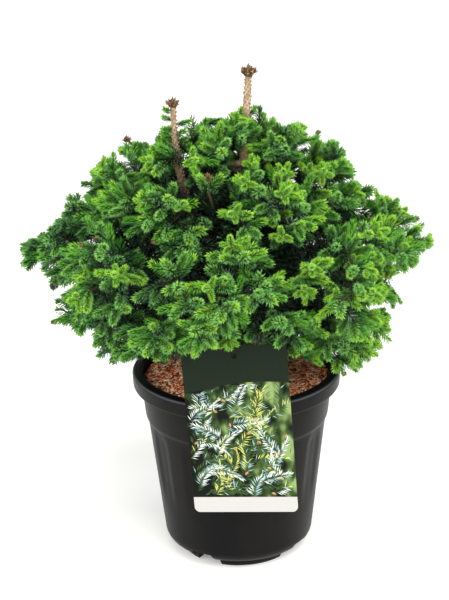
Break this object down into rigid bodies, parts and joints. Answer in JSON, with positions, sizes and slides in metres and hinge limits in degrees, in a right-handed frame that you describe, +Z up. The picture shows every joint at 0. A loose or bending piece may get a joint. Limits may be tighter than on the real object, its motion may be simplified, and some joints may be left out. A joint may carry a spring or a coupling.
{
  "type": "potted dwarf spruce",
  "caption": "Dwarf spruce in a dark nursery pot: leaning trunk, tapering boughs, separate needle masses in a round crown, bare leaders with buds, bark mulch and a plain plant card.",
  "frame": {"origin": "middle of the pot's underside, on the ground", "axes": "+Z up along the pot's axis, -Y towards the front where the card hangs, +X to the right as seen from the front"},
  "size_m": [0.4447, 0.4089, 0.5313],
  "materials": {
    "pot_plastic": "satin black",
    "mulch": "rough bark chips and coir",
    "card": "printed, satin",
    "bark": "rough bark",
    "foliage": "needles"
  },
  "bodies": {
    "root": {"pot": "pot_plastic", "mulch": "mulch", "card": "card", "trunk": "bark", "second_leader": "bark", "bough_lower_1": "bark", "bough_lower_2": "bark", "bough_lower_3": "bark", "bough_lower_4": "bark", "bough_lower_5": "bark", "bough_lower_6": "bark", "bough_lower_7": "bark", "bough_middle_1": "bark", "bough_middle_2": "bark", "bough_middle_3": "bark", "bough_middle_4": "bark", "bough_middle_5": "bark", "bough_middle_6": "bark", "bough_middle_7": "bark", "bough_middle_8": "bark", "bough_upper_1": "bark", "bough_upper_2": "bark", "bough_upper_3": "bark", "bough_upper_4": "bark", "bough_upper_5": "bark", "bough_upper_6": "bark", "bough_top_1": "bark", "bough_top_2": "bark", "bough_top_3": "bark", "foliage_lower_1": "foliage", "foliage_lower_2": "foliage", "foliage_lower_3": "foliage", "foliage_lower_4": "foliage", "foliage_lower_5": "foliage", "foliage_lower_6": "foliage", "foliage_lower_7": "foliage", "foliage_middle_1": "foliage", "foliage_middle_2": "foliage", "foliage_middle_3": "foliage", "foliage_middle_4": "foliage", "foliage_middle_5": "foliage", "foliage_middle_6": "foliage", "foliage_middle_7": "foliage", "foliage_middle_8": "foliage", "foliage_upper_1": "foliage", "foliage_upper_2": "foliage", "foliage_upper_3": "foliage", "foliage_upper_4": "foliage", "foliage_upper_5": "foliage", "foliage_upper_6": "foliage", "foliage_top_1": "foliage", "foliage_top_2": "foliage", "foliage_top_3": "foliage"}
  },
  "joints": []
}
